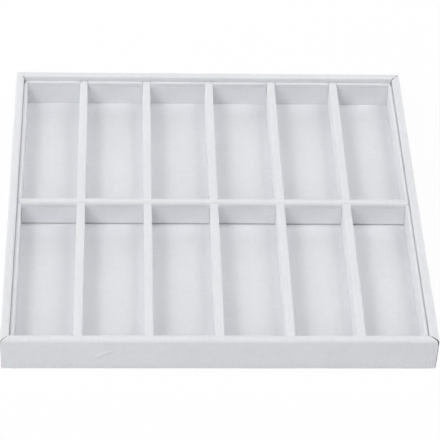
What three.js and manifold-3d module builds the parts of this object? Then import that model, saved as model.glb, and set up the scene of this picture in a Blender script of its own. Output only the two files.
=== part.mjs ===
// A shallow open tray that keeps twelve pairs of folded glasses, six across and two deep.
// Four wrapped board walls are mitred round a base. A grid of wrapped dividers, halved into
// one another, drops into the tray with a small gap all round.
// Millimetres. +Z is up, +Y is towards the back, and the origin is under the middle of the tray.

import * as THREE from 'three';
import { mergeVertices } from 'three/addons/utils/BufferGeometryUtils.js';
import Module from 'manifold-3d';

const wasm = await Module();
wasm.setup();

// Outside of the tray
const trayWidth = 380;
const trayLength = 376;
const trayHeight = 34.5;

// Boards inside the wraps
const wallBoard = 6;
const crossDividerBoard = 6;
const longDividerBoard = 4;
const stripBoard = 1.5;
const baseBoard = 2;

// Leatherette wrap, and the line of glue under it
const cover = 0.6;
const glueLine = 0.15;

// Rounding of the boards' top edges, in the rim and in the grid, and the flat left between
const rimEdgeRound = 1.4;
const gridEdgeRound = 0.5;
const leastFlat = 0.15;

// Walls: rounding of the tray's upright corners, and the seams
const cornerRound = 1.2;
const mitreGap = 0.4;
const turnIn = 18;

// Floor lining and the sheet on the underside
const floorCloth = 0.6;
const floorEdgeGap = 0.3;
const bottomSheet = 0.5;
const bottomSheetInset = 6;
const bottomSheetCorner = 5;

// Divider grid: how far its pieces stay below the rim, clear of the walls and off the floor
const crossCount = 5;
const endColumnTrim = 2.35;
const longDividerDrop = 3.9;
const crossDividerDrop = 4.5;
const stripDrop = 4.9;
const insertGap = 0.5;
const longDividerLift = 0.6;
const boardEndRound = 1.2;
const stripCornerGap = 1.2;

// Clearances where pieces of the grid meet
const seatGap = 0.1;
const lapGap = 0.3;
const buttGap = 0.2;
const tongueGap = 0.3;

// A quarter turn of an arc is drawn with twice this many straight steps
const curveSegments = 3;
// Tools that cut reach this far past what they cut
const overcut = 1;

// Sizes that follow from the ones above
const skin = cover + glueLine;
const wall = wallBoard + 2 * skin;
const crossThickness = crossDividerBoard + 2 * skin;
const longThickness = longDividerBoard + 2 * skin;
const strip = stripBoard + 2 * skin;
const turnInBottom = bottomSheet + glueLine;
const boardBottom = turnInBottom + skin;
const baseTop = boardBottom + baseBoard;
const clothBottom = baseTop + glueLine;
const floorTop = clothBottom + floorCloth;
const gridBottom = floorTop + seatGap;
const innerHalfWidth = trayWidth / 2 - wall;
const innerHalfLength = trayLength / 2 - wall;
const stripFaceX = innerHalfWidth - insertGap - strip;
const stripFaceY = innerHalfLength - insertGap - strip;
const longTop = trayHeight - longDividerDrop;
const crossTop = trayHeight - crossDividerDrop;
const stripTop = trayHeight - stripDrop;
const lapHeight = (gridBottom + stripTop) / 2;
const columnsWidth = 2 * (stripFaceX + endColumnTrim) - crossCount * crossThickness;
const crossPitch = columnsWidth / (crossCount + 1) + crossThickness;
const crossPlaces = Array.from({ length: crossCount }, (_, i) => (i - (crossCount - 1) / 2) * crossPitch);

// Finishes
const leatherette = { color: '#dedfe3', roughness: 0.62, metalness: 0 };
const lining = { color: '#dcdde1', roughness: 0.7, metalness: 0 };
const boardCore = { color: '#b59f7f', roughness: 0.9, metalness: 0 };
const liningPaper = { color: '#c9cacd', roughness: 0.85, metalness: 0 };

// Closed geometry as a solid that can be cut
function solidOf(geometry) {
  const bare = geometry.clone();
  bare.deleteAttribute('normal');
  bare.deleteAttribute('uv');
  const merged = mergeVertices(bare);
  const vertProperties = new Float32Array(merged.attributes.position.array);
  const triVerts = new Uint32Array(merged.index.array);
  return new wasm.Manifold(new wasm.Mesh({ numProp: 3, vertProperties, triVerts }));
}

// A cut solid back as geometry
function geometryOf(solid) {
  const { vertProperties, triVerts } = solid.getMesh();
  const geometry = new THREE.BufferGeometry();
  geometry.setAttribute('position', new THREE.BufferAttribute(vertProperties, 3));
  geometry.setIndex(new THREE.BufferAttribute(triVerts, 1));
  geometry.computeVertexNormals();
  return geometry;
}

// An outline in X and Y, drawn out along Z to both sides of its plane
function drawnOut(outline, depth) {
  const geometry = new THREE.ExtrudeGeometry(outline, { depth, bevelEnabled: false, curveSegments });
  return geometry.translate(0, 0, -depth / 2);
}

function sheet(halfWidth, halfLength, bottom, thickness) {
  const geometry = new THREE.BoxGeometry(2 * halfWidth, 2 * halfLength, thickness);
  return geometry.translate(0, 0, bottom + thickness / 2);
}

// The rounding of a board's top edges, which leaves some flat between them
function topRound(board, round) {
  return Math.min(round, (board - leastFlat) / 2);
}

// Section of an upright board with both top edges rounded
function boardSection(left, right, bottom, top, round) {
  const outline = new THREE.Shape();
  outline.moveTo(left, bottom);
  outline.lineTo(right, bottom);
  outline.absarc(right - round, top - round, round, 0, Math.PI / 2, false);
  outline.absarc(left + round, top - round, round, Math.PI / 2, Math.PI, false);
  return outline;
}

// Section of a wall's wrap: down inside, over the rim, down outside and in under the base
function wallCoverSection() {
  const hollowRound = topRound(wallBoard, rimEdgeRound) + glueLine;
  const rimRound = hollowRound + cover;
  const rim = trayHeight - rimRound;
  const foldInside = 2 * glueLine;
  const fold = foldInside + cover;
  const outline = new THREE.Shape();
  outline.moveTo(wall - cover, clothBottom);
  outline.lineTo(wall, clothBottom);
  outline.absarc(wall - rimRound, rim, rimRound, 0, Math.PI / 2, false);
  outline.absarc(rimRound, rim, rimRound, Math.PI / 2, Math.PI, false);
  outline.absarc(fold, turnInBottom + fold, fold, Math.PI, 1.5 * Math.PI, false);
  outline.lineTo(turnIn, turnInBottom);
  outline.lineTo(turnIn, turnInBottom + cover);
  outline.absarc(fold, turnInBottom + fold, foldInside, 1.5 * Math.PI, Math.PI, true);
  outline.absarc(rimRound, rim, hollowRound, Math.PI, Math.PI / 2, true);
  outline.absarc(wall - rimRound, rim, hollowRound, Math.PI / 2, 0, true);
  return outline;
}

// A wall section drawn out along the wall, both ends cut back at 45 degrees for the mitres
function mitred(section, length) {
  const geometry = drawnOut(section, length);
  const points = geometry.attributes.position;
  for (let i = 0; i < points.count; i += 1) {
    const end = Math.sign(points.getZ(i));
    points.setZ(i, points.getZ(i) - end * (points.getX(i) + mitreGap / 2));
  }
  return geometry;
}

// The space inside a wall's two rounded upright corners
function cornerSpace(length) {
  const outline = new THREE.Shape();
  outline.moveTo(turnIn + overcut, -length / 2);
  outline.lineTo(turnIn + overcut, length / 2);
  outline.absarc(cornerRound, length / 2 - cornerRound, cornerRound, Math.PI / 2, Math.PI, false);
  outline.absarc(cornerRound, cornerRound - length / 2, cornerRound, Math.PI, 1.5 * Math.PI, false);
  return drawnOut(outline, 2 * trayHeight + 2 * overcut).rotateX(-Math.PI / 2);
}

function wallCoverGeometry(length) {
  const wrap = solidOf(mitred(wallCoverSection(), length));
  return geometryOf(wrap.intersect(solidOf(cornerSpace(length))));
}

function wallBoardGeometry(length) {
  const round = topRound(wallBoard, rimEdgeRound);
  const section = boardSection(skin, skin + wallBoard, boardBottom, trayHeight - skin, round);
  return mitred(section, length);
}

// Side view of a panel, with a shoulder under each end where the end reaches over a strip
function panelElevation(panel, inset, bottom) {
  const body = panel.bodyHalf - inset;
  const reach = panel.reachHalf - inset;
  const round = boardEndRound + skin - inset;
  const roundHeight = panel.top - inset - round;
  const shoulder = panel.shoulder + inset;
  const outline = new THREE.Shape();
  outline.moveTo(-body, bottom);
  outline.lineTo(body, bottom);
  if (panel.shoulder) {
    outline.lineTo(body, shoulder);
    outline.lineTo(reach, shoulder);
  }
  outline.absarc(reach - round, roundHeight, round, 0, Math.PI / 2, false);
  outline.absarc(round - reach, roundHeight, round, Math.PI / 2, Math.PI, false);
  if (panel.shoulder) {
    outline.lineTo(-reach, shoulder);
    outline.lineTo(-body, shoulder);
  }
  return outline;
}

// A panel's solid, lying this far inside the outer face of its wrap: its section along its
// length, kept where the side view is
function panelSolid(panel, inset, bottom) {
  const half = panel.board / 2 + skin - inset;
  const round = topRound(panel.board, gridEdgeRound) + skin - inset;
  const section = boardSection(-half, half, bottom, panel.top - inset, round);
  const along = drawnOut(section, 2 * panel.reachHalf + 2 * overcut);
  const across = drawnOut(panelElevation(panel, inset, bottom), 2 * half + 2 * overcut);
  return solidOf(along).intersect(solidOf(across.rotateY(-Math.PI / 2)));
}

// The slots that take other panels, as blocks
function slotBlocks(panel) {
  const width = panel.slotTakes + 2 * lapGap;
  return panel.slotPlaces.map((place) => {
    const height = panel.slotTop - panel.slotBottom;
    const block = new THREE.BoxGeometry(panel.board + 2 * skin + 2 * overcut, height, width);
    return solidOf(block.translate(0, panel.slotBottom + height / 2, place));
  });
}

// A board and its wrap, the wrap open below and turned round the board's ends
function wrappedPanel(panel) {
  const outside = panelSolid(panel, 0, panel.bottom);
  const hollow = panelSolid(panel, cover, panel.bottom - overcut);
  let wrap = outside.subtract(hollow);
  let core = panelSolid(panel, skin, panel.bottom);
  for (const block of slotBlocks(panel)) {
    wrap = wrap.subtract(block);
    core = core.subtract(block);
  }
  return { wrap: geometryOf(wrap), core: geometryOf(core) };
}

function piece(name, geometry, finish) {
  const mesh = new THREE.Mesh(geometry, new THREE.MeshStandardMaterial(finish));
  mesh.name = name;
  return mesh;
}

// Panels are drawn with Y upwards, so each is stood up on its place
function stoodUp(mesh, x) {
  mesh.rotation.x = Math.PI / 2;
  mesh.position.x = x;
  return mesh;
}

const tray = new THREE.Group();
const grid = new THREE.Group();

// Underside sheet, base and floor lining
const sheetOutline = new THREE.Shape();
const sheetHalfWidth = trayWidth / 2 - bottomSheetInset;
const sheetHalfLength = trayLength / 2 - bottomSheetInset;
const sheetArcX = sheetHalfWidth - bottomSheetCorner;
const sheetArcY = sheetHalfLength - bottomSheetCorner;
sheetOutline.absarc(sheetArcX, sheetArcY, bottomSheetCorner, 0, Math.PI / 2, false);
sheetOutline.absarc(-sheetArcX, sheetArcY, bottomSheetCorner, Math.PI / 2, Math.PI, false);
sheetOutline.absarc(-sheetArcX, -sheetArcY, bottomSheetCorner, Math.PI, 1.5 * Math.PI, false);
sheetOutline.absarc(sheetArcX, -sheetArcY, bottomSheetCorner, 1.5 * Math.PI, 2 * Math.PI, false);
const underside = piece('bottom_sheet', drawnOut(sheetOutline, bottomSheet), liningPaper);
underside.position.z = bottomSheet / 2;
tray.add(underside);

const baseHalfWidth = innerHalfWidth + cover;
const baseHalfLength = innerHalfLength + cover;
tray.add(piece('base_board', sheet(baseHalfWidth, baseHalfLength, boardBottom, baseBoard), boardCore));

const clothHalfWidth = innerHalfWidth - floorEdgeGap;
const clothHalfLength = innerHalfLength - floorEdgeGap;
tray.add(piece('floor_cloth', sheet(clothHalfWidth, clothHalfLength, clothBottom, floorCloth), lining));

// Four sides, each drawn as the left one and turned about the middle of the tray
const sides = [
  { name: 'left', turn: 0, reach: trayWidth / 2, length: trayLength },
  { name: 'front', turn: Math.PI / 2, reach: trayLength / 2, length: trayWidth },
  { name: 'right', turn: Math.PI, reach: trayWidth / 2, length: trayLength },
  { name: 'back', turn: -Math.PI / 2, reach: trayLength / 2, length: trayWidth },
];

for (const { name, turn, reach, length } of sides) {
  const wallSide = new THREE.Group();
  wallSide.rotation.z = turn;
  wallSide.add(stoodUp(piece(`${name}_wall_board`, wallBoardGeometry(length), boardCore), -reach));
  wallSide.add(stoodUp(piece(`${name}_wall_cover`, wallCoverGeometry(length), leatherette), -reach));
  tray.add(wallSide);
}

// Strips along the walls: front and back run from side to side and take the cross dividers,
// left and right stand between them and take the long divider
const sideStrip = { half: stripFaceY - buttGap, slotPlaces: [0], slotTakes: longThickness };
const endStripHalf = stripFaceX + strip - stripCornerGap;
const endStrip = { half: endStripHalf, slotPlaces: crossPlaces, slotTakes: crossThickness };
const stripOf = {
  left: sideStrip,
  front: endStrip,
  right: sideStrip,
  back: endStrip,
};

for (const { name, turn, reach } of sides) {
  const { half, slotPlaces, slotTakes } = stripOf[name];
  const { wrap, core } = wrappedPanel({
    board: stripBoard,
    bottom: gridBottom,
    top: stripTop,
    bodyHalf: half,
    reachHalf: half,
    slotPlaces,
    slotTakes,
    slotBottom: lapHeight,
    slotTop: stripTop + overcut,
  });
  const x = -(reach - wall - insertGap - strip / 2);
  const stripSide = new THREE.Group();
  stripSide.rotation.z = turn;
  stripSide.add(stoodUp(piece(`${name}_strip_board`, core, boardCore), x));
  stripSide.add(stoodUp(piece(`${name}_strip_cover`, wrap, leatherette), x));
  grid.add(stripSide);
}

// Long divider, slotted from below over the cross dividers
const longDivider = wrappedPanel({
  board: longDividerBoard,
  bottom: gridBottom + longDividerLift,
  top: longTop,
  bodyHalf: stripFaceX - buttGap,
  reachHalf: innerHalfWidth - tongueGap,
  shoulder: lapHeight + lapGap,
  slotPlaces: crossPlaces,
  slotTakes: crossThickness,
  slotBottom: gridBottom - overcut,
  slotTop: lapHeight + lapGap,
});
const longSide = new THREE.Group();
longSide.rotation.z = Math.PI / 2;
longSide.add(stoodUp(piece('long_divider_board', longDivider.core, boardCore), 0));
longSide.add(stoodUp(piece('long_divider_cover', longDivider.wrap, leatherette), 0));
grid.add(longSide);

// Cross dividers, slotted from above to take the long one
crossPlaces.forEach((place, i) => {
  const { wrap, core } = wrappedPanel({
    board: crossDividerBoard,
    bottom: gridBottom,
    top: crossTop,
    bodyHalf: stripFaceY - buttGap,
    reachHalf: innerHalfLength - tongueGap,
    shoulder: lapHeight + lapGap,
    slotPlaces: [0],
    slotTakes: longThickness,
    slotBottom: lapHeight,
    slotTop: crossTop + overcut,
  });
  grid.add(stoodUp(piece(`cross_divider_${i + 1}_board`, core, boardCore), place));
  grid.add(stoodUp(piece(`cross_divider_${i + 1}_cover`, wrap, leatherette), place));
});

const storageTray = new THREE.Group();
storageTray.add(tray, grid);

export default storageTray;
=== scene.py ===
import math
from dataclasses import dataclass

import bpy
from mathutils import Matrix, Vector, noise


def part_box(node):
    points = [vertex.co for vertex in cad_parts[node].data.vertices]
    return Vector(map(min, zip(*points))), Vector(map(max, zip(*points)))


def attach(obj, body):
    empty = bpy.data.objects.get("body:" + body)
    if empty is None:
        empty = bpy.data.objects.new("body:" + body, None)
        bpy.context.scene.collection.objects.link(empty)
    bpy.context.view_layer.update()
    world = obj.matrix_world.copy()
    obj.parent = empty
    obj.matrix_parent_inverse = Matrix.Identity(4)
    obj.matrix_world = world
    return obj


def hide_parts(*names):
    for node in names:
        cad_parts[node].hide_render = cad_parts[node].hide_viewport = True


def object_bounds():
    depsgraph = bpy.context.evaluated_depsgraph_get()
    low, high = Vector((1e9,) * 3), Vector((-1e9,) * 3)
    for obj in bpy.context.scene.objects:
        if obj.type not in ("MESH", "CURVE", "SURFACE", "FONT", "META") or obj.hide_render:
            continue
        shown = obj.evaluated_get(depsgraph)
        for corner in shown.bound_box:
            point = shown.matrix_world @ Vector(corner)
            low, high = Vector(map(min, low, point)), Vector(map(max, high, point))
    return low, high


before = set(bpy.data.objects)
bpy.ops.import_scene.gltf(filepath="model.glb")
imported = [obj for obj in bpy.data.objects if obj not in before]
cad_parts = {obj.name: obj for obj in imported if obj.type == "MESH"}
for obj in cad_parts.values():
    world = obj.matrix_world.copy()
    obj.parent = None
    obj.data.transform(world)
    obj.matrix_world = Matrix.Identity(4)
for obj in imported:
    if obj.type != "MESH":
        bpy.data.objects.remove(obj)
cad_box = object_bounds()


# Underside sheet
# A sheet of grey-white lining paper, glued over the turned-in edges of the wraps. It is cut a
# little smaller than the tray, with rounded corners, and the tray stands on it.

MM = 0.001
# A fold that turns more than this shows as an edge
SHARP_FOLD = math.radians(50)
# Keeps rounding from adding a step to a length that is a whole number of them
ROUNDING = 1e-6


class Shade:
    """One socket of a material. Arithmetic between sockets and numbers adds Math nodes."""

    def __init__(self, tree, socket=None):
        self.tree = tree
        self.socket = socket

    def node(self, kind, settings=None, inputs=None, output=0):
        """Adds a node, with its settings first and then its sockets, and gives one output."""
        made = self.tree.nodes.new(kind)
        for key, value in (settings or {}).items():
            setattr(made, key, value)
        for key, value in (inputs or {}).items():
            if isinstance(value, Shade):
                self.tree.links.new(value.socket, made.inputs[key])
            else:
                made.inputs[key].default_value = value
        return Shade(self.tree, made.outputs[output])

    def maths(self, operation, *values):
        return self.node("ShaderNodeMath", {"operation": operation}, dict(enumerate(values)))

    def mix(self, first, second):
        """A colour between two, with this value as the share of the second."""
        settings = {"data_type": "RGBA"}
        # The sockets for colours come after those for numbers and vectors
        return self.node("ShaderNodeMix", settings, {0: self, 6: first, 7: second}, 2)

    def part(self, index):
        """One of a vector's three parts."""
        return self.node("ShaderNodeSeparateXYZ", None, {0: self}, index)

    def stretch(self, x, y, z=1.0):
        """A vector with its three parts multiplied."""
        return self.node("ShaderNodeVectorMath", {"operation": "MULTIPLY"}, {0: self, 1: (x, y, z)})

    def cloud(self, scale, detail=2.0, roughness=0.5):
        """Soft noise at this vector, about 0 to 1."""
        inputs = {"Vector": self, "Scale": scale, "Detail": detail, "Roughness": roughness}
        return self.node("ShaderNodeTexNoise", None, inputs)

    def between(self, low, high):
        """0 below low, 1 above high and a smooth rise from one to the other."""
        settings = {"interpolation_type": "SMOOTHSTEP"}
        return self.node("ShaderNodeMapRange", settings, {0: self, 1: low, 2: high})

    def patches(self, scale, detail=2.0, low=0.3, high=0.7):
        """Soft patches at this vector, 0 in one and 1 in the next."""
        return self.cloud(scale, detail).between(low, high)

    def __add__(self, other):
        return self.maths("ADD", self, other)

    def __radd__(self, other):
        return self.maths("ADD", other, self)

    def __sub__(self, other):
        return self.maths("SUBTRACT", self, other)

    def __rsub__(self, other):
        return self.maths("SUBTRACT", other, self)

    def __mul__(self, other):
        return self.maths("MULTIPLY", self, other)

    def __rmul__(self, other):
        return self.maths("MULTIPLY", other, self)


def linear(red, green, blue):
    """A colour written in screen values of 0 to 255, as the linear colour that shaders take."""
    parts = [value / 255 for value in (red, green, blue)]
    return tuple(((part + 0.055) / 1.055) ** 2.4 for part in parts) + (1.0,)


def material(name):
    """A new material, a start for its nodes and its surface shader."""
    made = bpy.data.materials.new(name)
    made.use_nodes = True
    return made, Shade(made.node_tree), made.node_tree.nodes["Principled BSDF"]


def dress(surface, start, colour, rough, height, relief):
    """Feeds a surface its colour, its roughness and the relief of its grain, in metres."""
    inputs = {"Height": height, "Distance": relief, "Strength": 1.0}
    bump = start.node("ShaderNodeBump", None, inputs)
    for name, value in (("Base Color", colour), ("Roughness", rough), ("Normal", bump)):
        start.tree.links.new(value.socket, surface.inputs[name])


def lay_sheet(name, rows, lengths, thickness, keep=None, caps=()):
    """A sheet over rows of points, with its thickness on the side that its faces turn from.
    lengths holds each point's way along and across the sheet, in metres, for its grain, keep says
    which of the faces between the rows stay, and caps are faces that close the ends."""
    across = len(rows[0])
    points = [point for row in rows for point in row]
    grain = [pair for row in lengths for pair in row]
    faces = list(caps)
    for j in range(len(rows) - 1):
        for i in range(across - 1):
            if keep is None or keep(j, i):
                first = j * across + i
                faces.append((first, first + 1, first + 1 + across, first + across))
    used = sorted({corner for face in faces for corner in face})
    place = {corner: index for index, corner in enumerate(used)}
    mesh = bpy.data.meshes.new(name)
    mesh.from_pydata([points[u] for u in used], [], [[place[c] for c in face] for face in faces])
    layer = mesh.uv_layers.new(name="grain")
    for loop in mesh.loops:
        layer.data[loop.index].uv = grain[used[loop.vertex_index]]
    piece = bpy.data.objects.new(name, mesh)
    bpy.context.collection.objects.link(piece)
    solid = piece.modifiers.new("thickness", "SOLIDIFY")
    solid.thickness = thickness
    solid.offset = -1.0
    solid.use_quality_normals = True
    depsgraph = bpy.context.evaluated_depsgraph_get()
    settled = bpy.data.meshes.new_from_object(piece.evaluated_get(depsgraph))
    piece.modifiers.clear()
    piece.data = settled
    settled.polygons.foreach_set("use_smooth", [True] * len(settled.polygons))
    settled.set_sharp_from_angle(angle=SHARP_FOLD)
    return piece


def place_piece(piece, look, body, node):
    """Gives a piece its material and the body it rides on, and hides the node it stands for."""
    piece.data.materials.clear()
    piece.data.materials.append(look)
    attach(piece, body)
    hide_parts(node)


def even_count(length, step):
    """How many even stretches, none longer than step, make up a length."""
    return max(1, math.ceil(length / step - ROUNDING))


def steps(start, end, step):
    """Even places from start to end, no further apart than step, both ends included."""
    count = even_count(abs(end - start), step)
    return [start + (end - start) * index / count for index in range(count + 1)]


PAPER_GREY = linear(206, 206, 204)
PAPER_PALE = linear(214, 214, 213)
PAPER_SPECK = linear(178, 174, 166)
# How many fibres, along and across, clouds and flecks come to a metre of the paper
PAPER_FIBRES = (900, 2600)
PAPER_CLOUDS = 35
PAPER_FLECKS = 1400
PAPER_FLECK_SHARE = 0.35
PAPER_RELIEF = 0.03 * MM
paper, paper_start, paper_surface = material("lining_paper")
paper_way = paper_start.node("ShaderNodeUVMap", {"uv_map": "grain"})
paper_fibre = paper_way.stretch(*PAPER_FIBRES).cloud(1.0, detail=3.0, roughness=0.6)
paper_fleck = paper_way.patches(PAPER_FLECKS, detail=1.0, low=0.66, high=0.74)
paper_tone = paper_way.patches(PAPER_CLOUDS).mix(PAPER_GREY, PAPER_PALE)
paper_tone = (PAPER_FLECK_SHARE * paper_fleck).mix(paper_tone, PAPER_SPECK)
paper_rough = 0.84 + 0.08 * paper_fibre
dress(paper_surface, paper_start, paper_tone, paper_rough, paper_fibre, PAPER_RELIEF)

PAPER_CORNER = 5 * MM
PAPER_CORNER_STEP = 0.8 * MM
PAPER_STEP = 6 * MM
# How high the paper's waves are, and how many come to a metre
PAPER_WAVE = 0.12 * MM
PAPER_WAVES = 28
paper_low, paper_high = (Vector(corner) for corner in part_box("bottom_sheet"))


def paper_stations(low, high):
    """Places across the paper, close together in the rounded corners."""
    inner_low = low + PAPER_CORNER
    inner_high = high - PAPER_CORNER
    corner = steps(0, PAPER_CORNER, PAPER_CORNER_STEP)
    middle = steps(inner_low, inner_high, PAPER_STEP)[1:-1]
    return [low + step for step in corner] + middle + [inner_high + step for step in corner]


def paper_point(x, y):
    """A point of the square grid, drawn in where the paper's corner is rounded."""
    reach_x = paper_high.x - PAPER_CORNER
    reach_y = paper_high.y - PAPER_CORNER
    past_x = max(abs(x) - reach_x, 0) / PAPER_CORNER
    past_y = max(abs(y) - reach_y, 0) / PAPER_CORNER
    if past_x and past_y:
        x = math.copysign(reach_x + PAPER_CORNER * past_x * math.sqrt(1 - past_y ** 2 / 2), x)
        y = math.copysign(reach_y + PAPER_CORNER * past_y * math.sqrt(1 - past_x ** 2 / 2), y)
    rise = 0.5 + 0.5 * noise.noise(Vector((x, y, 0)) * PAPER_WAVES)
    return Vector((x, y, paper_low.z + PAPER_WAVE * rise))


paper_rows = []
for y in paper_stations(paper_low.y, paper_high.y):
    across = reversed(paper_stations(paper_low.x, paper_high.x))
    paper_rows.append([paper_point(x, y) for x in across])
paper_lengths = [[(point.x, point.y) for point in row] for row in paper_rows]
paper_thickness = paper_high.z - paper_low.z - PAPER_WAVE
underside = lay_sheet("underside_paper", paper_rows, paper_lengths, paper_thickness)
place_piece(underside, paper, "tray", "bottom_sheet")


# Board cores
# Raw fibreboard inside the walls, the dividers, the strips and the base, sawn to size. The wraps
# hide all of it but the mitres in the open seams, and the sawn edges in the slots and along the
# bottom of the grid.

BOARD_BROWN = linear(168, 145, 113)
BOARD_PALE = linear(184, 161, 128)
BOARD_SPECK = linear(128, 104, 76)
# How many fibres, along each axis, clouds and flecks come to a metre of the board
BOARD_FIBRES = (700, 700, 2400)
BOARD_CLOUDS = 60
BOARD_FLECKS = 1600
BOARD_FLECK_SHARE = 0.5
BOARD_RELIEF = 0.08 * MM
# The colour of the painted shade on the mitred board ends that show in the open seams
PAINTED_SEAM_SHADE = linear(74, 68, 62)
# Painted shade: the mitred ends of the wall boards are darkened this far in from the outside, so that
# the open seams look shadowed
PAINTED_SHADE_REACH = 9 * MM
PAINTED_SHADE_FADE = 2 * MM
fibreboard, board_start, board_surface = material("fibreboard")
board_way = board_start.node("ShaderNodeTexCoord", output="Object")
board_fibre = board_way.stretch(*BOARD_FIBRES).cloud(1.0, detail=4.0, roughness=0.65)
board_fleck = board_way.patches(BOARD_FLECKS, low=0.6, high=0.72)
board_tone = board_way.patches(BOARD_CLOUDS, detail=3.0).mix(BOARD_BROWN, BOARD_PALE)
board_tone = (BOARD_FLECK_SHARE * board_fleck).mix(board_tone, BOARD_SPECK)
# Where the painted seam shade lies: near the outside corners, fading in towards them
painted_shade_x = board_start.maths("ABSOLUTE", board_way.part(0)) - (cad_box[1][0] - PAINTED_SHADE_REACH)
painted_shade_y = board_start.maths("ABSOLUTE", board_way.part(1)) - (cad_box[1][1] - PAINTED_SHADE_REACH)
board_painted_shade = board_start.maths("MINIMUM", painted_shade_x, painted_shade_y).between(0.0, PAINTED_SHADE_FADE)
board_tone = board_painted_shade.mix(board_tone, PAINTED_SEAM_SHADE)
board_rough = 0.86 + 0.1 * board_fibre
dress(board_surface, board_start, board_tone, board_rough, board_fibre, BOARD_RELIEF)

for node_name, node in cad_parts.items():
    if node_name.endswith("_board"):
        node.data.materials.clear()
        node.data.materials.append(fibreboard)


# Wall wraps
# Off-white leatherette with a fine linen grain, drawn over each wall from the floor inside, over
# the rounded rim, down the outside and in under the base. The ends are mitred at the corners.

def linen(start, thread, drift, wander, slubs):
    """A linen grain: its place on the sheet, its threads, from -1 to 1, and its slubs, about 0 to 1.
    The threads wander, along and across, as a drift that comes so many times to the metre."""
    way = start.node("ShaderNodeUVMap", {"uv_map": "grain"})
    sway = way.cloud(drift)
    turns = [way.part(axis) * (math.pi / thread) + wander[axis] * sway for axis in (0, 1)]
    weave = start.maths("SINE", turns[0]) * start.maths("SINE", turns[1])
    along, across = (way.stretch(*often).cloud(1.0) for often in (slubs, slubs[::-1]))
    return way, weave, start.maths("MAXIMUM", along, across)


WRAP_SHADE = linear(229, 230, 233)
WRAP_PALE = linear(232, 233, 236)
WRAP_SLUB = linear(218, 219, 223)
WRAP_THREAD = linear(240, 241, 244)
THREAD = 0.62 * MM
THREAD_WANDER = (1.6, 1.6)
# How much threads and slubs tell in the colour, where they start and end to do so, and their height
THREAD_SHARE = 0.12
THREAD_RANGE = (0.2, 1.0)
THREAD_HEIGHT = 0.28
SLUB_SHARE = 0.6
SLUB_RANGE = (0.5, 0.8)
SLUB_HEIGHT = 0.9
# How many drifts, slubs, along and across, and clouds come to a metre of the leatherette
WRAP_DRIFTS = 220
WRAP_SLUBS = (70, 1300)
WRAP_CLOUDS = 14
WRAP_RELIEF = 0.06 * MM
WRAP_GLOSS = 0.35
leatherette, wrap_start, wrap_surface = material("linen_leatherette")
wrap_way, wrap_weave, wrap_slub = linen(wrap_start, THREAD, WRAP_DRIFTS, THREAD_WANDER, WRAP_SLUBS)
wrap_tone = wrap_way.patches(WRAP_CLOUDS).mix(WRAP_SHADE, WRAP_PALE)
wrap_tone = (SLUB_SHARE * wrap_slub.between(*SLUB_RANGE)).mix(wrap_tone, WRAP_SLUB)
wrap_tone = (THREAD_SHARE * wrap_weave.between(*THREAD_RANGE)).mix(wrap_tone, WRAP_THREAD)
wrap_rough = 0.68 - 0.12 * wrap_slub
wrap_height = THREAD_HEIGHT * wrap_weave + SLUB_HEIGHT * wrap_slub
dress(wrap_surface, wrap_start, wrap_tone, wrap_rough, wrap_height, WRAP_RELIEF)
wrap_surface.inputs["Specular IOR Level"].default_value = WRAP_GLOSS


@dataclass
class Closeness:
    """How closely a wall's points lie: along it, down its outside, and on the run to a corner."""

    along: float
    down: float
    run_count: int


# The front wall has the folds and the crease, so its points lie closer
FRONT_POINTS = Closeness(along=1.3 * MM, down=0.6 * MM, run_count=96)
OTHER_POINTS = Closeness(along=2.6 * MM, down=2.5 * MM, run_count=12)
INSIDE_STEP = 2.5 * MM
RIM_STEP = 0.6 * MM
TURN_IN_STEP = 3 * MM
FOLD_COUNT = 5

# Each wall is drawn as the left one and turned by so many degrees
SIDES = {"left": 0, "front": 90, "right": 180, "back": 270}
tray_low, tray_high = (Vector(corner) for corner in cad_box)
wall_board_low, wall_board_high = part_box("left_wall_board")
wall_wrap_low, wall_wrap_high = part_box("left_wall_cover")
cloth_low, cloth_high = (Vector(corner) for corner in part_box("floor_cloth"))
# The room for the wrap on the board, the wrap's thickness and the wrapped wall's
SKIN = wall_board_low[0] - wall_wrap_low[0]
WRAP = 0.6 * MM
WALL = wall_board_high[0] - wall_wrap_low[0] + SKIN
FOLD_ROUND = 0.9 * MM
TURN_IN = wall_wrap_high[0] - wall_wrap_low[0]
# How high a wall's waves are, and how many come to a metre along and across it
WALL_WAVE = 0.1 * MM
WALL_WAVES = (42, 60)
# The rim's rounding on the outside and on the inside of each wall, in mm
RIM_ROUNDS = {"left": (2.15, 2.15), "front": (3.0, 1.2), "right": (2.15, 2.15), "back": (1.5, 1.5)}
WALL_CORNERS = {
    "left": ("back_left", "front_left"),
    "front": ("front_left", "front_right"),
    "right": ("front_right", "back_right"),
    "back": ("back_right", "back_left"),
}
# The upright corners: rows draw together on the run to each and on the way round it, which starts
# a little before the rounding does
CORNER_ROUND = 1.4 * MM
RUN_REACH = 26 * MM
RUN_CROWDING = 1.6
CORNER_LEAD = 1.2 * MM
CORNER_SHARES = (0.25, 0.45, 0.6, 0.7, 0.78, 0.85, 0.91, 0.96, 1.0)
# How far each seam stands open at the rim outside, in mm, and what is left of that further in and
# further down
SEAM_GAP = {"front_left": 0.48, "front_right": 0.95, "back_left": 0.06, "back_right": 0.4}
SEAM_INNER_SHARE = 0.3
SEAM_LOWER_SHARE = 0.22
SEAM_FALL = 6 * MM
SEAM_DIP = 0.3 * MM
SEAM_WIDTH = 0.9 * MM
# How deep the front wrap puckers beside each seam, in mm
PUCKER = {"front_left": 0.16, "front_right": 1.0, "back_left": 0.0, "back_right": 0.0}
PUCKER_SPACING = 2.2 * MM
PUCKER_SHARPNESS = 6
PUCKER_REACH = 5.0 * MM
PUCKER_RIM_FADE = 4
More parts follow.
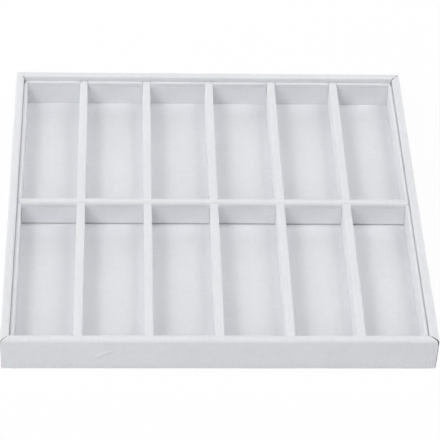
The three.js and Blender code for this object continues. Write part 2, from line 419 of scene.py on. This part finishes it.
# The crease on the front wall: its ends, along the wall and up it, its slopes above and below its
# ridge, and the hollow under it, as a share of its height and so many lower slopes off. It fades in
# and out over shares of its length
CREASE_ENDS = (Vector((-108.6 * MM, 14.0 * MM)), Vector((-93.0 * MM, 22.9 * MM)))
CREASE_BOW = 1.0 * MM
CREASE_HEIGHT = 1.25 * MM
CREASE_UPPER = 1.4 * MM
CREASE_LOWER = 0.7 * MM
CREASE_HOLLOW = 0.25
CREASE_HOLLOW_OFF = 2
CREASE_FADE_IN = 0.12
CREASE_FADE_OUT = 0.5
CREASE_END = 1.15
CREASE_MARGIN = 4 * MM
CREASE_STEP = 0.4 * MM


def bend(centre, reach, first, last, count=8):
    """Points and outward directions on an arc, its angles in degrees, without its first point.
    reach holds how far the arc goes sideways and upwards from its centre."""
    found = []
    for index in range(1, count + 1):
        angle = math.radians(first + (last - first) * index / count)
        facing = (math.cos(angle), math.sin(angle))
        found.append(((centre[0] + reach[0] * facing[0], centre[1] + reach[1] * facing[1]), facing))
    return found


def flat(start, end, facing, step):
    """Points on a straight stretch with one outward direction, without its first point."""
    count = even_count(math.dist(start, end), step)
    shares = [index / count for index in range(1, count + 1)]
    return [(tuple(a + (b - a) * share for a, b in zip(start, end)), facing) for share in shares]


def widths(path):
    """How far along a section each of its points lies."""
    found = [0.0]
    for (here, _), (there, _) in zip(path, path[1:]):
        found.append(found[-1] + math.dist(here, there))
    return found


def wall_path(side, step):
    """The wrap's outer face in section, as depth from the outside and height: up inside the wall,
    over the rim, down the outside and in under the base."""
    top = tray_high.z
    low = wall_wrap_low[2]
    outer, inner = (radius * MM for radius in RIM_ROUNDS[side])
    inside = (WALL, cloth_low.z)
    path = [(inside, (1, 0))]
    path += flat(inside, (WALL, top - inner), (1, 0), INSIDE_STEP)
    path += bend((WALL - inner, top - inner), (inner, inner), 0, 90)
    path += flat((WALL - inner, top), (outer, top), (0, 1), RIM_STEP)
    path += bend((outer, top - outer), (outer, outer), 90, 180)
    path += flat((0, top - outer), (0, low + FOLD_ROUND), (-1, 0), step)
    path += bend((FOLD_ROUND, low + FOLD_ROUND), (FOLD_ROUND, FOLD_ROUND), 180, 270, FOLD_COUNT)
    path += flat((FOLD_ROUND, low), (TURN_IN, low), (0, -1), TURN_IN_STEP)
    return path


def round_corner(depth, height, half, gap, share):
    """Where the wrap lies on its way round an upright corner, at a share of that way: its depth,
    its place along the wall, the turn of its face and what is left before the mitre."""
    arc = max(CORNER_ROUND - depth, 0)
    gap *= 1 - (1 - SEAM_INNER_SHARE) * min(depth / WALL, 1)
    gap *= 1 - (1 - SEAM_LOWER_SHARE) * min((tray_high.z - height) / SEAM_FALL, 1)
    start = half - max(CORNER_ROUND, depth) - CORNER_LEAD
    whole = CORNER_LEAD + arc * math.pi / 4 - gap
    way = share * whole
    if way <= CORNER_LEAD:
        return depth, start + way, 0, whole - way
    turn = (way - CORNER_LEAD) / arc
    along = half - CORNER_ROUND + arc * math.sin(turn)
    return CORNER_ROUND - arc * math.cos(turn), along, turn, whole - way


def crease(along, height):
    """A short wrinkle left in the front wall's wrap, as its rise over the face."""
    first, last = CREASE_ENDS
    line = last - first
    here = Vector((along, height)) - first
    share = here.dot(line) / line.length_squared
    bow = CREASE_BOW * math.sin(math.pi * min(max(share, 0), 1))
    aside = (line.x * here.y - line.y * here.x) / line.length - bow
    fade = max(0, min(share / CREASE_FADE_IN, (CREASE_END - share) / CREASE_FADE_OUT, 1))
    ridge = math.exp(-(aside / (CREASE_UPPER if aside > 0 else CREASE_LOWER)) ** 2)
    hollow = CREASE_HOLLOW * math.exp(-(aside / CREASE_LOWER + CREASE_HOLLOW_OFF) ** 2)
    return CREASE_HEIGHT * fade * (ridge - hollow)


def wall_half(side, end, corner, path, points):
    """Rows of points from the middle of a wall to one of its corners, and their lengths. end is -1
    for the wall's first corner and 1 for its last."""
    level = side in ("front", "back")
    reach = tray_high.y if level else tray_high.x
    half = tray_high.x if level else tray_high.y
    turn = Matrix.Rotation(math.radians(SIDES[side]), 3, "Z")
    gap = SEAM_GAP[corner] * MM
    straight_end = half - RUN_REACH
    places = steps(0, straight_end, points.along)
    if side == "front":
        crease_places = sorted(end * point.x for point in CREASE_ENDS)
        crease_low, crease_high = crease_places[0] - CREASE_MARGIN, crease_places[1] + CREASE_MARGIN
        outside = [place for place in places if not crease_low <= place <= crease_high]
        inside = steps(crease_low, crease_high, CREASE_STEP) if crease_low > 0 else []
        places = sorted(outside + inside)
    stations = [("straight", place) for place in places]
    runs = steps(1, 0, 1 / points.run_count)[1:]
    stations += [("run", 1 - share ** RUN_CROWDING) for share in runs]
    stations += [("corner", share) for share in CORNER_SHARES]
    path_widths = widths(path)
    rows = []
    lengths = []
    for kind, value in stations:
        row = []
        pairs = []
        for ((depth, height), facing), width in zip(path, path_widths):
            turned = 0.0
            if kind == "straight":
                along = value
                left = half - depth - along
            elif kind == "run":
                run_end = round_corner(depth, height, half, gap, 0)[1]
                along = straight_end + (run_end - straight_end) * value
                left = CORNER_LEAD + run_end - along
            else:
                depth, along, turned, left = round_corner(depth, height, half, gap, value)
            wave = Vector((end * along * WALL_WAVES[0], width * WALL_WAVES[1], SIDES[side]))
            rise = WALL_WAVE * noise.noise(wave)
            rise -= SEAM_DIP * max(0, 1 - left / SEAM_WIDTH) ** 2
            if side == "front" and facing[0] < 0:
                fold = math.cos(math.pi * left / PUCKER_SPACING) ** PUCKER_SHARPNESS
                fold *= math.exp(-left / PUCKER_REACH) * facing[0] ** PUCKER_RIM_FADE
                rise -= PUCKER[corner] * MM * fold
                if facing == (-1, 0):
                    rise += crease(end * along, height)
            depth += rise * facing[0] * math.cos(turned)
            along -= rise * facing[0] * math.sin(turned)
            row.append(turn @ Vector((depth - reach, -end * along, height + rise * facing[1])))
            pairs.append((end * along, width))
        rows.append(row)
        lengths.append(pairs)
    return rows, lengths


for side, (first_corner, last_corner) in WALL_CORNERS.items():
    points = FRONT_POINTS if side == "front" else OTHER_POINTS
    path = wall_path(side, points.down)
    first_rows, first_lengths = wall_half(side, -1, first_corner, path, points)
    last_rows, last_lengths = wall_half(side, 1, last_corner, path, points)
    rows = first_rows[:0:-1] + last_rows
    lengths = first_lengths[:0:-1] + last_lengths
    wrap = lay_sheet(side + "_wall_wrap", rows, lengths, WRAP)
    place_piece(wrap, leatherette, "tray", side + "_wall_cover")


# Floor lining
# One sheet of the same linen-grained stuff, glued flat on the base before the grid goes in. It
# shows at the bottom of every compartment.

FLOOR_SHADE = linear(237, 238, 241)
FLOOR_PALE = linear(241, 242, 245)
FLOOR_SLUB = linear(227, 228, 232)
FLOOR_THREAD = 0.7 * MM
FLOOR_WANDER = (1.5, 0.0)
FLOOR_THREAD_HEIGHT = 0.3
# How many drifts, slubs, along and across, and clouds come to a metre of the lining
FLOOR_DRIFTS = 200
FLOOR_SLUBS = (60, 1150)
FLOOR_CLOUDS = 11
FLOOR_RELIEF = 0.07 * MM
FLOOR_GLOSS = 0.3
lining, floor_start, floor_surface = material("floor_lining")
floor_way, floor_weave, floor_slub = linen(
    floor_start, FLOOR_THREAD, FLOOR_DRIFTS, FLOOR_WANDER, FLOOR_SLUBS
)
floor_tone = floor_way.patches(FLOOR_CLOUDS, detail=3.0).mix(FLOOR_SHADE, FLOOR_PALE)
floor_tone = (SLUB_SHARE * floor_slub.between(*SLUB_RANGE)).mix(floor_tone, FLOOR_SLUB)
floor_rough = 0.76 - 0.1 * floor_slub
floor_height = FLOOR_THREAD_HEIGHT * floor_weave + SLUB_HEIGHT * floor_slub
dress(floor_surface, floor_start, floor_tone, floor_rough, floor_height, FLOOR_RELIEF)
floor_surface.inputs["Specular IOR Level"].default_value = FLOOR_GLOSS

FLOOR_STEP = 4 * MM
# How high the lining's waves are, how many come to a metre along and across it, and their seed
FLOOR_WAVE = 0.08 * MM
FLOOR_WAVES = (30, 22)
FLOOR_SEED = 3
# The long divider has pressed the lining down along its foot
PRESS_DEPTH = 0.42 * MM
PRESS_HALF = 3.6 * MM
PRESS_STEEPNESS = 4
PRESS_END = 10 * MM
PRESS_STEP = 0.5 * MM
floor_stations = steps(cloth_low.y, -PRESS_END, FLOOR_STEP)[:-1]
floor_stations += steps(-PRESS_END, PRESS_END, PRESS_STEP)
floor_stations += steps(PRESS_END, cloth_high.y, FLOOR_STEP)[1:]
floor_rows = []
for y in floor_stations:
    row = []
    for x in steps(cloth_low.x, cloth_high.x, FLOOR_STEP):
        sink = 0.5 + 0.5 * noise.noise(Vector((x * FLOOR_WAVES[0], y * FLOOR_WAVES[1], FLOOR_SEED)))
        press = PRESS_DEPTH * math.exp(-(y / PRESS_HALF) ** PRESS_STEEPNESS)
        row.append(Vector((x, y, cloth_high.z - FLOOR_WAVE * sink - press)))
    floor_rows.append(row)
floor_lengths = [[(point.x, point.y) for point in row] for row in floor_rows]
floor_thickness = cloth_high.z - cloth_low.z - FLOOR_WAVE
floor_sheet = lay_sheet("floor_lining", floor_rows, floor_lengths, floor_thickness)
place_piece(floor_sheet, lining, "tray", "floor_cloth")


# Strips along the walls
# Thin boards wrapped in leatherette, stood on edge round the grid. Each is notched from above
# where a divider's end passes over it. A doubled edge of the wrap shows as a band along the top.

# How high a panel's waves are, and how many come to a metre along and across it
PANEL_WAVE = 0.09 * MM
PANEL_WAVES = (38, 55)
# The doubled edge, and the groove under it
BAND_DEPTH = 4.4 * MM
BAND_GROOVE = 0.15 * MM
GROOVE_HEIGHT = 0.5 * MM
# How far the wrap rolls in beside a notch, and how far down a tip slopes
CUT_ROUND = 0.6 * MM
TIP_DEPTH = 6 * MM
# Room beside the long divider and over each lap, beside a cross divider, and between a divider's
# body and a strip
LAP_GAP = 0.3 * MM
SLOT_GAP = 0.12 * MM
BUTT_GAP = 0.2 * MM
# How far apart a panel's points lie along it, up its faces, on the doubled edge and on its top
PANEL_STEP = 3.5 * MM
FACE_STEP = 2.5 * MM
BAND_STEP = 1.0 * MM
TOP_STEP = 0.9 * MM
# Where the rows round a tip lie, in degrees
TIP_ANGLES = (20, 40, 60, 75, 90)


@dataclass
class Panel:
    """A wrapped board on edge, drawn along Y with its middle at the spot, then turned. It goes as
    far as reach above its shoulder, and as far as body below it."""

    name: str
    spot: Vector
    turn: float
    half: float
    bottom: float
    top: float
    body: float
    reach: float
    outer_round: Vector
    inner_round: Vector
    outer_band: float
    inner_band: float
    end_round: float
    cut_places: list
    cut_half: float
    cut_low: float
    cut_high: float
    shoulder: float = 0.0
    end_drop: float = 1.0
    lean: tuple = (0.0, 0.0)

    def face(self, band, rounding):
        """One face from the bottom up to the rounded edge: distance from the middle and height."""
        edge = self.top - BAND_DEPTH - GROOVE_HEIGHT
        marks = {self.cut_low, self.cut_high, self.shoulder}
        heights = [self.bottom] + sorted(mark for mark in marks if self.bottom < mark < edge)
        points = [(self.half, self.bottom)]
        for low, high in zip(heights, heights[1:] + [edge]):
            points += [point for point, _ in flat((self.half, low), (self.half, high), None, FACE_STEP)]
        if band:
            points.append((self.half - BAND_GROOVE, edge + GROOVE_HEIGHT / 2))
            points.append((self.half - BAND_GROOVE, edge + GROOVE_HEIGHT))
            points.append((self.half + band, edge + GROOVE_HEIGHT))
            points.append((self.half + band, edge + GROOVE_HEIGHT + band))
        upper = flat(points[-1], (self.half + band, self.top - rounding.y), None, BAND_STEP)
        return points + [point for point, _ in upper]

    def path(self):
        """The wrap in section, from the bottom of one face over the top to the other's."""
        outer = self.face(self.outer_band, self.outer_round)
        inner = self.face(self.inner_band, self.inner_round)
        outer_arc = (self.outer_round.x - outer[-1][0], self.top - self.outer_round.y)
        inner_arc = (inner[-1][0] - self.inner_round.x, self.top - self.inner_round.y)
        found = [((-x, z), (-1, 0)) for x, z in outer]
        found += bend(outer_arc, self.outer_round, 180, 90)
        found += flat((outer_arc[0], self.top), (inner_arc[0], self.top), (0, 1), TOP_STEP)
        found += bend(inner_arc, self.inner_round, 90, 0)
        return found + [((x, z), (1, 0)) for x, z in inner[-2::-1]]

    def stations(self):
        """Places along the panel, each with how far its rounded end draws the wrap in there."""
        flat_end = self.reach - self.end_round
        edges = {-flat_end, flat_end, -self.body, self.body}
        for place in self.cut_places:
            for reach in (0, CUT_ROUND / 4, CUT_ROUND / 2, CUT_ROUND):
                edges |= {place - self.cut_half - reach, place + self.cut_half + reach}
        edges = sorted(edge for edge in edges if abs(edge) <= flat_end)
        places = [(edges[0], 0.0)]
        for low, high in zip(edges, edges[1:]):
            places += [(place, 0.0) for place in steps(low, high, PANEL_STEP)[1:]]
        angles = [math.radians(angle) for angle in TIP_ANGLES]
        tip = [(flat_end + self.end_round * math.sin(angle), self.end_round * (1 - math.cos(angle)))
               for angle in angles]
        return [(-place, inset) for place, inset in reversed(tip)] + places + tip

    def cut_inset(self, along, height):
        """How far the wrap rolls in beside the cuts from above."""
        if self.cut_high < self.top or height < self.cut_low:
            return 0.0
        away = min(abs(abs(along - place) - self.cut_half) for place in self.cut_places)
        past = max(CUT_ROUND - away, 0)
        return CUT_ROUND - math.sqrt(CUT_ROUND ** 2 - past ** 2)

    def wrap(self):
        """The wrap itself, with its cuts, its shoulders and its closed ends."""
        path = self.path()
        path_widths = widths(path)
        stations = self.stations()
        turn = Matrix.Rotation(math.radians(self.turn), 3, "Z")
        seed = sum(ord(letter) for letter in self.name)
        rows = []
        lengths = []
        for along, inset in stations:
            share = (along + self.reach) / (2 * self.reach)
            lean = self.lean[0] + (self.lean[1] - self.lean[0]) * share
            row = []
            for ((x, z), facing), width in zip(path, path_widths):
                wave = Vector((along * PANEL_WAVES[0], width * PANEL_WAVES[1], seed))
                rise = PANEL_WAVE * noise.noise(wave)
                rise -= self.cut_inset(along, z)
                rise += lean * max(-facing[0], 0)
                upper = max(0, 1 - (self.top - z) / TIP_DEPTH)
                x = (x + rise * facing[0]) * (1 - inset / self.half)
                z += rise * facing[1] - self.end_drop * inset * upper
                row.append(self.spot + turn @ Vector((x, along, z)))
            rows.append(row)
            lengths.append([(along, width) for width in path_widths])

        def keep(j, i):
            """Whether the face after row j and point i is clear of the cuts and the shoulders."""
            along = (stations[j][0] + stations[j + 1][0]) / 2
            height = (path[i][0][1] + path[i + 1][0][1]) / 2
            cut = self.cut_low < height < self.cut_high
            if cut and any(abs(along - place) < self.cut_half for place in self.cut_places):
                return False
            return abs(along) < self.body or height > self.shoulder

        count = len(path)
        ends = [i for i in range(count) if path[i][0][1] >= self.shoulder]
        caps = [ends[::-1], [(len(rows) - 1) * count + i for i in ends]]
        return lay_sheet(self.name, rows, lengths, WRAP, keep, caps)


_, divider_high = (Vector(corner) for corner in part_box("cross_divider_3_cover"))
strip_low, strip_high = (Vector(corner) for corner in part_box("right_strip_cover"))
CROSS_CUT_HALF = divider_high.x + SLOT_GAP
LONG_CUT_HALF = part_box("long_divider_cover")[1][1] + LAP_GAP
LAP_HEIGHT = (strip_low.z + strip_high.z) / 2
# A cut goes this far past the edge that it starts from
PAST_EDGE = 5 * MM
# The rounding of each strip's top edges, sideways and down in mm, on the outside and the inside
ROUND_STRIP = (Vector((1.45, 1.45)), Vector((1.45, 2.6)))
STRIP_ROUNDS = {
    "left": ROUND_STRIP,
    "front": ROUND_STRIP,
    "right": (Vector((2.1, 1.1)), Vector((0.9, 1.4))),
    "back": (Vector((2.2, 1.2)), Vector((0.8, 0.8))),
}
STRIP_END_ROUND = 0.4 * MM
STRIP_BAND_PROUD = 0.1 * MM
# How far the outer face of each strip leans towards its wall, at the two ends, in mm
STRIP_LEAN = {"left": (0.36, 0.42), "front": (0.0, 0.0), "right": (0.38, 0.3), "back": (0.42, 0.42)}
CROSS_NAMES = [f"cross_divider_{number}" for number in range(1, 6)]
CROSS_PLACES = []
for name in CROSS_NAMES:
    low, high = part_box(name + "_cover")
    CROSS_PLACES.append((low[0] + high[0]) / 2)

for side in SIDES:
    low, high = (Vector(corner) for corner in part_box(side + "_strip_cover"))
    middle = (low + high) / 2
    size = (high - low) / 2
    level = side in ("front", "back")
    strip = Panel(
        name=side + "_strip_wrap",
        spot=Vector((middle.x, middle.y, 0)),
        turn=SIDES[side],
        half=size.y if level else size.x,
        bottom=low.z,
        top=high.z,
        body=size.x if level else size.y,
        reach=size.x if level else size.y,
        outer_round=STRIP_ROUNDS[side][0] * MM,
        inner_round=STRIP_ROUNDS[side][1] * MM,
        outer_band=0.0,
        inner_band=STRIP_BAND_PROUD,
        end_round=STRIP_END_ROUND,
        cut_places=CROSS_PLACES if level else [0.0],
        cut_half=CROSS_CUT_HALF if level else LONG_CUT_HALF,
        cut_low=LAP_HEIGHT,
        cut_high=high.z + PAST_EDGE,
        lean=tuple(lean * MM for lean in STRIP_LEAN[side]),
    )
    place_piece(strip.wrap(), leatherette, "divider_grid", side + "_strip_cover")


# Long divider
# A wrapped board from side to side, with five slots from below that drop over the cross dividers.
# Its ends lie in the notches of the side strips, and its lower edge stays just clear of the floor.

# Its top slopes off towards the front and is sharper at the back
LONG_FRONT_ROUND = Vector((2.6, 3.8)) * MM
LONG_BACK_ROUND = Vector((0.9, 0.9)) * MM
LONG_FRONT_BAND = 0.4 * MM
LONG_BACK_BAND = 0.1 * MM
LONG_END_ROUND = 1.95 * MM
long_low, long_high = (Vector(corner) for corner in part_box("long_divider_cover"))
long_divider = Panel(
    name="long_divider_wrap",
    spot=Vector((0, 0, 0)),
    turn=SIDES["front"],
    half=long_high.y,
    bottom=long_low.z,
    top=long_high.z,
    body=strip_low.x - BUTT_GAP,
    reach=long_high.x,
    outer_round=LONG_FRONT_ROUND,
    inner_round=LONG_BACK_ROUND,
    outer_band=LONG_FRONT_BAND,
    inner_band=LONG_BACK_BAND,
    end_round=LONG_END_ROUND,
    cut_places=[-place for place in CROSS_PLACES],
    cut_half=CROSS_CUT_HALF,
    cut_low=long_low.z - PAST_EDGE,
    cut_high=LAP_HEIGHT + LAP_GAP,
    shoulder=LAP_HEIGHT + LAP_GAP,
)
place_piece(long_divider.wrap(), leatherette, "divider_grid", "long_divider_cover")


# Cross dividers
# Five wrapped boards from front to back, each with one slot from above that takes the long
# divider. Their ends lie in the notches of the front and back strips.

CROSS_ROUND = Vector((1.25, 1.25)) * MM
CROSS_END_ROUND = 2.4 * MM
CROSS_END_DROP = 0.3
CROSS_BAND_PROUD = 0.05 * MM
back_strip_low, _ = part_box("back_strip_cover")
for name, place in zip(CROSS_NAMES, CROSS_PLACES):
    low, high = (Vector(corner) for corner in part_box(name + "_cover"))
    cross_divider = Panel(
        name=name + "_wrap",
        spot=Vector((place, 0, 0)),
        turn=SIDES["left"],
        half=(high.x - low.x) / 2,
        bottom=low.z,
        top=high.z,
        body=back_strip_low[1] - BUTT_GAP,
        reach=high.y,
        outer_round=CROSS_ROUND,
        inner_round=CROSS_ROUND,
        outer_band=CROSS_BAND_PROUD,
        inner_band=CROSS_BAND_PROUD,
        end_round=CROSS_END_ROUND,
        end_drop=CROSS_END_DROP,
        cut_places=[0.0],
        cut_half=LONG_CUT_HALF,
        cut_low=LAP_HEIGHT,
        cut_high=high.z + PAST_EDGE,
        shoulder=LAP_HEIGHT + LAP_GAP,
    )
    place_piece(cross_divider.wrap(), leatherette, "divider_grid", name + "_cover")


# Floor and light
# A plain white floor that keeps a soft shadow, and faint white light from all round. Broad lamps
# stand at the right and from the left round to the front, two small ones at the front left and two
# near ones at the back.

WHITE = (1.0, 1.0, 1.0, 1.0)
STAGE_COLOUR = linear(248, 248, 249)
STAGE_ROUGHNESS = 0.9
stage_look, stage_start, stage_surface = material("studio_floor")
stage_surface.inputs["Base Color"].default_value = STAGE_COLOUR
stage_surface.inputs["Roughness"].default_value = STAGE_ROUGHNESS
stage_tree = stage_look.node_tree


def seen(start):
    """1 for what the camera, a reflection or a clear material sees, 0 for light on its way."""
    path = start.node("ShaderNodeLightPath")
    rays = {out.name: Shade(start.tree, out) for out in path.socket.node.outputs}
    direct = start.maths("MAXIMUM", rays["Is Camera Ray"], rays["Is Glossy Ray"])
    return start.maths("MAXIMUM", direct, rays["Is Transmission Ray"])


STAGE_GLOW = 0.93
glow = stage_start.node("ShaderNodeEmission", None, {"Color": WHITE, "Strength": 1.0})
lit = Shade(stage_tree, stage_surface.outputs[0])
share = STAGE_GLOW * seen(stage_start)
blended = stage_start.node("ShaderNodeMixShader", None, {0: share, 1: lit, 2: glow})
stage_tree.links.new(blended.socket, stage_tree.nodes["Material Output"].inputs["Surface"])

STAGE_REACH = 12.0
STAGE_DROP = 0.02 * MM
stage_mesh = bpy.data.meshes.new("studio_floor")
stage_corners = [(-STAGE_REACH, -STAGE_REACH, 0), (STAGE_REACH, -STAGE_REACH, 0),
                 (STAGE_REACH, STAGE_REACH, 0), (-STAGE_REACH, STAGE_REACH, 0)]
stage_mesh.from_pydata(stage_corners, [], [(0, 1, 2, 3)])
stage_mesh.materials.append(stage_look)
stage = bpy.data.objects.new("studio_floor", stage_mesh)
stage.location.z = tray_low.z - STAGE_DROP
bpy.context.collection.objects.link(stage)

SKY_LEVEL = 0.074
world = bpy.data.worlds.new("studio")
world.use_nodes = True
bpy.context.scene.world = world
sky_start = Shade(world.node_tree)
sky_light = sky_start.node("ShaderNodeBackground", None, {"Color": WHITE, "Strength": SKY_LEVEL})
sky_seen = sky_start.node("ShaderNodeBackground", None, {"Color": WHITE, "Strength": 1.0})
sky = sky_start.node("ShaderNodeMixShader", None, {0: seen(sky_start), 1: sky_light, 2: sky_seen})
world.node_tree.links.new(sky.socket, world.node_tree.nodes["World Output"].inputs["Surface"])

# Each lamp: its turn from +X and its height in degrees, its distance and width in metres, and its
# power in watts
LAMPS = {
    "left_lamp": (180, 25, 3.0, 1.4, 33.9),
    "key_lamp": (215, 50, 3.0, 0.48, 8.4),
    "wide_lamp": (225, 40, 3.0, 1.4, 9.9),
    "front_left_lamp": (240, 45, 3.0, 0.48, 10.8),
    "front_lamp": (270, 30, 3.0, 1.4, 9.6),
    "low_right_lamp": (0, 12, 3.0, 1.4, 37.0),
    "high_right_lamp": (0, 60, 2.4, 1.12, 19.6),
    "back_lamp": (90, 30, 1.2, 0.56, 1.97),
    "back_left_lamp": (135, 30, 1.2, 0.56, 1.23),
}
for name, (turn, height, distance, width, power) in LAMPS.items():
    lamp_data = bpy.data.lights.new(name, "AREA")
    lamp_data.shape = "SQUARE"
    lamp_data.size = width
    lamp_data.energy = power
    lamp = bpy.data.objects.new(name, lamp_data)
    around, up = math.radians(turn), math.radians(height)
    out = math.cos(up)
    lamp_way = Vector((math.cos(around) * out, math.sin(around) * out, math.sin(up)))
    lamp.location = lamp_way * distance
    lamp.rotation_euler = lamp_way.to_track_quat("Z", "Y").to_euler()
    bpy.context.collection.objects.link(lamp)


# Camera
# The photograph's view: from the front and above, a little left of the middle, about two metres
# off and with a long lens.

CAMERA_PLACE = Vector((-0.08734, -1.4827, 1.33199))
CAMERA_PAN = math.radians(3.613)
CAMERA_TILT = math.radians(41.736)
CAMERA_ROLL = math.radians(2.637)
FOCAL_PIXELS = 2126.2
IMAGE_PIXELS = 440
SENSOR_WIDTH = 36.0
camera_data = bpy.data.cameras.new("camera")
camera_data.sensor_width = SENSOR_WIDTH
camera_data.lens = FOCAL_PIXELS / IMAGE_PIXELS * SENSOR_WIDTH
camera = bpy.data.objects.new("camera", camera_data)
level_way = Vector((math.sin(CAMERA_PAN), math.cos(CAMERA_PAN), 0))
right_way = Vector((math.cos(CAMERA_PAN), -math.sin(CAMERA_PAN), 0))
view_way = level_way * math.cos(CAMERA_TILT) - Vector((0, 0, math.sin(CAMERA_TILT)))
up_way = level_way * math.sin(CAMERA_TILT) + Vector((0, 0, math.cos(CAMERA_TILT)))
camera_right = right_way * math.cos(CAMERA_ROLL) + up_way * math.sin(CAMERA_ROLL)
camera_up = up_way * math.cos(CAMERA_ROLL) - right_way * math.sin(CAMERA_ROLL)
stand = Matrix((camera_right, camera_up, -view_way)).transposed().to_4x4()
stand.translation = CAMERA_PLACE
camera.matrix_world = stand
bpy.context.collection.objects.link(camera)
bpy.context.scene.camera = camera
bpy.context.scene.view_settings.view_transform = "Standard"
